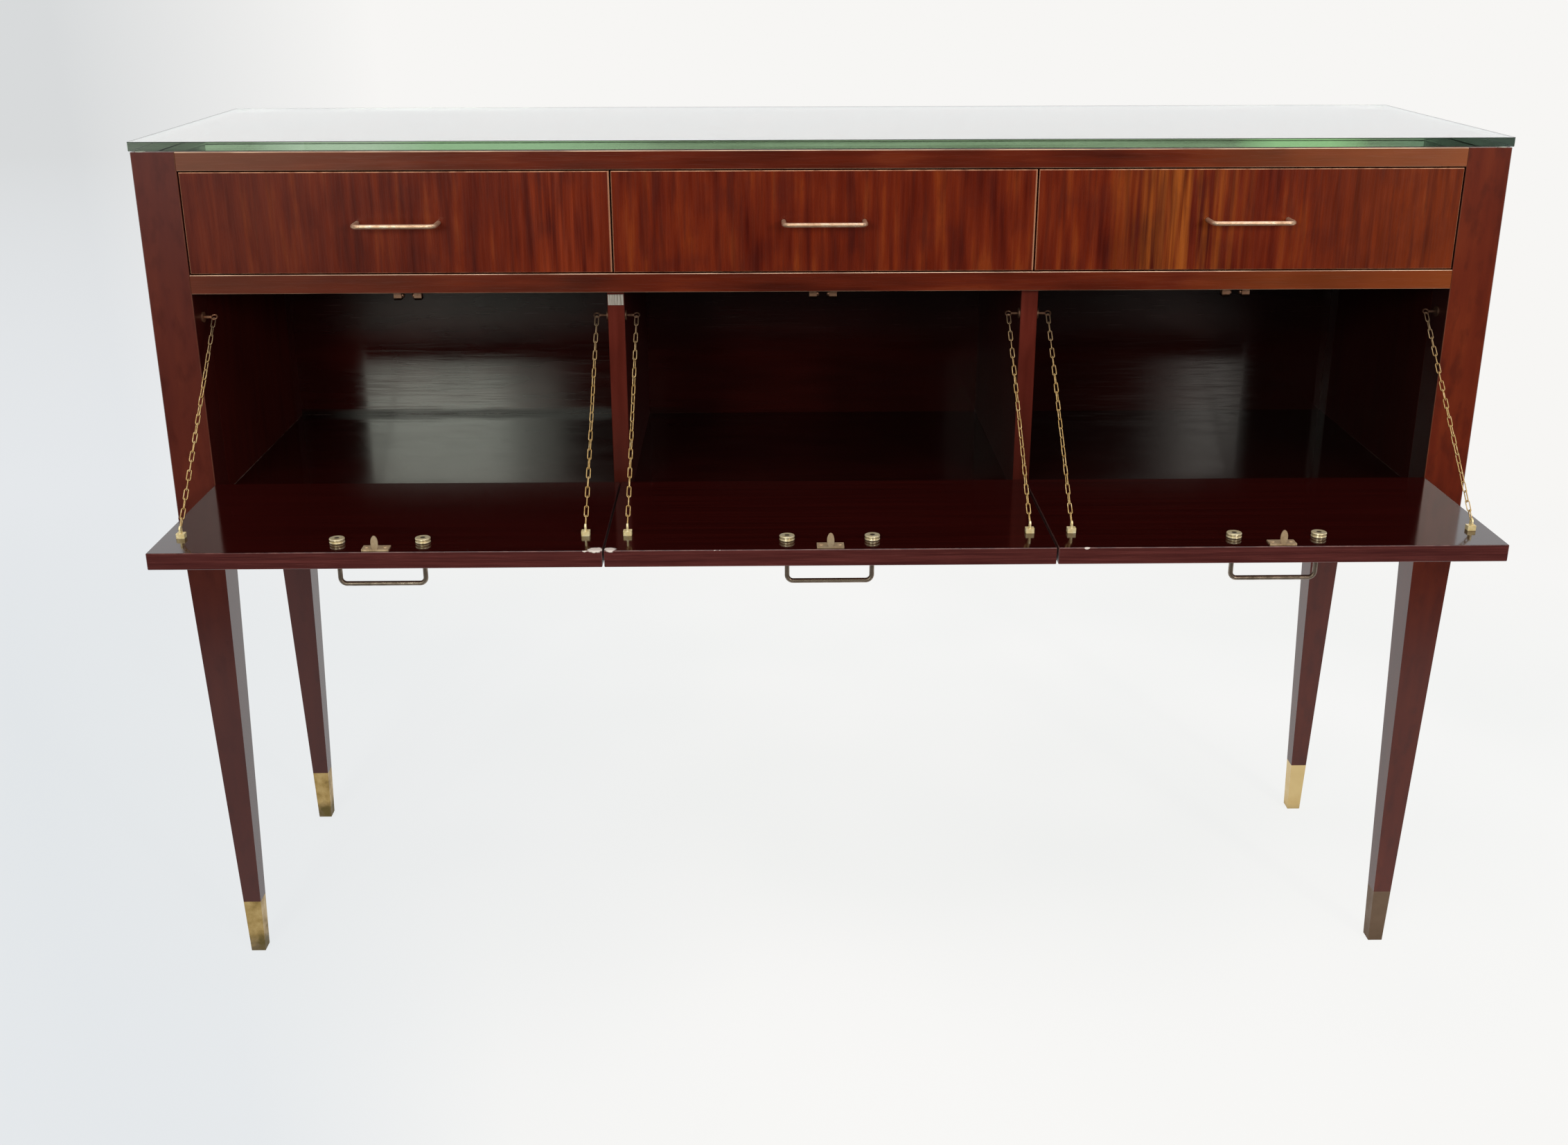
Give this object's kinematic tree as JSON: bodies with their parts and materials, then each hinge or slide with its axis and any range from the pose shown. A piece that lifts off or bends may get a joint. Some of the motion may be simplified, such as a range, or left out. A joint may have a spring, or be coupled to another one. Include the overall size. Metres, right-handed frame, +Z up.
{
  "type": "sideboard",
  "caption": "Mahogany sideboard on tapered legs with brass sabots, with a glass top, a row of drawers and drop flaps held open by brass chains.",
  "frame": {"origin": "on the floor, under the middle of the overall box with the flaps open", "axes": "+X along the front to the right, +Y from front to back, +Z up"},
  "size_m": [1.5024, 0.6488, 1.022],
  "materials": {
    "mahogany": "polished reddish brown mahogany",
    "inner_mahogany": "dark polished mahogany",
    "drawer_wood": "plain waxed wood",
    "figured_mahogany": "polished ribbon-striped mahogany",
    "flap_mahogany": "dark polished mahogany",
    "pull_brass": "aged brass rod",
    "brass": "aged brass",
    "hinge_brass": "dull brass",
    "chain_brass": "bright brass",
    "glass": "clear float glass, green at the edge",
    "clear_pad": "clear soft pad",
    "pale_pad": "pale worn pad"
  },
  "bodies": {
    "carcass": {"post_front_left": "mahogany", "post_front_right": "mahogany", "post_back_left": "mahogany", "post_back_right": "mahogany", "top_front_rail": "mahogany", "middle_front_rail": "mahogany", "side_panel_left": "mahogany", "side_panel_right": "mahogany", "bottom_panel": "inner_mahogany", "back_panel": "inner_mahogany", "drawer_shelf": "inner_mahogany", "top_panel": "inner_mahogany", "divider_left": "inner_mahogany", "divider_right": "inner_mahogany", "drawer_partitions": "drawer_wood", "drawer_guides_and_stops": "drawer_wood", "leg_sabots": "brass", "flap_catches": "brass", "fixed_hinge_leaves": "hinge_brass", "chain_eyes": "chain_brass", "glass_top": "glass", "glass_pads": "clear_pad", "divider_pad": "pale_pad", "flap_left_chains": "chain_brass", "flap_centre_chains": "chain_brass", "flap_right_chains": "chain_brass"},
    "drawer_left": {"drawer_left_front": "figured_mahogany", "drawer_left_sides_and_back": "drawer_wood", "drawer_left_bottom": "drawer_wood", "drawer_left_pull": "pull_brass", "drawer_left_pull_nuts": "brass"},
    "flap_left": {"flap_left_panel": "flap_mahogany", "flap_left_pull": "pull_brass", "flap_left_pull_nuts": "brass", "flap_left_strike": "brass", "flap_left_chain_lugs": "brass", "flap_left_hinge_leaves": "hinge_brass"},
    "drawer_centre": {"drawer_centre_front": "figured_mahogany", "drawer_centre_sides_and_back": "drawer_wood", "drawer_centre_bottom": "drawer_wood", "drawer_centre_pull": "pull_brass", "drawer_centre_pull_nuts": "brass"},
    "flap_centre": {"flap_centre_panel": "flap_mahogany", "flap_centre_pull": "pull_brass", "flap_centre_pull_nuts": "brass", "flap_centre_strike": "brass", "flap_centre_chain_lugs": "brass", "flap_centre_hinge_leaves": "hinge_brass"},
    "drawer_right": {"drawer_right_front": "figured_mahogany", "drawer_right_sides_and_back": "drawer_wood", "drawer_right_bottom": "drawer_wood", "drawer_right_pull": "pull_brass", "drawer_right_pull_nuts": "brass"},
    "flap_right": {"flap_right_panel": "flap_mahogany", "flap_right_pull": "pull_brass", "flap_right_pull_nuts": "brass", "flap_right_strike": "brass", "flap_right_chain_lugs": "brass", "flap_right_hinge_leaves": "hinge_brass"}
  },
  "joints": [
    {"name": "drawer_left_slide", "type": "slide", "parent": "carcass", "child": "drawer_left", "axis": [0, -1, 0], "range_m": [0, 0.3]},
    {"name": "flap_left_hinge", "type": "hinge", "parent": "carcass", "child": "flap_left", "pos_m": [-0.46767, -0.08585, 0.6166], "axis": [-1, 0, 0], "range_deg": [0, 90], "deforming": ["flap_left_chains"]},
    {"name": "drawer_centre_slide", "type": "slide", "parent": "carcass", "child": "drawer_centre", "axis": [0, -1, 0], "range_m": [0, 0.3]},
    {"name": "flap_centre_hinge", "type": "hinge", "parent": "carcass", "child": "flap_centre", "pos_m": [0, -0.08585, 0.6166], "axis": [-1, 0, 0], "range_deg": [0, 90], "deforming": ["flap_centre_chains"]},
    {"name": "drawer_right_slide", "type": "slide", "parent": "carcass", "child": "drawer_right", "axis": [0, -1, 0], "range_m": [0, 0.3]},
    {"name": "flap_right_hinge", "type": "hinge", "parent": "carcass", "child": "flap_right", "pos_m": [0.46767, -0.08585, 0.6166], "axis": [-1, 0, 0], "range_deg": [0, 90], "deforming": ["flap_right_chains"]}
  ]
}
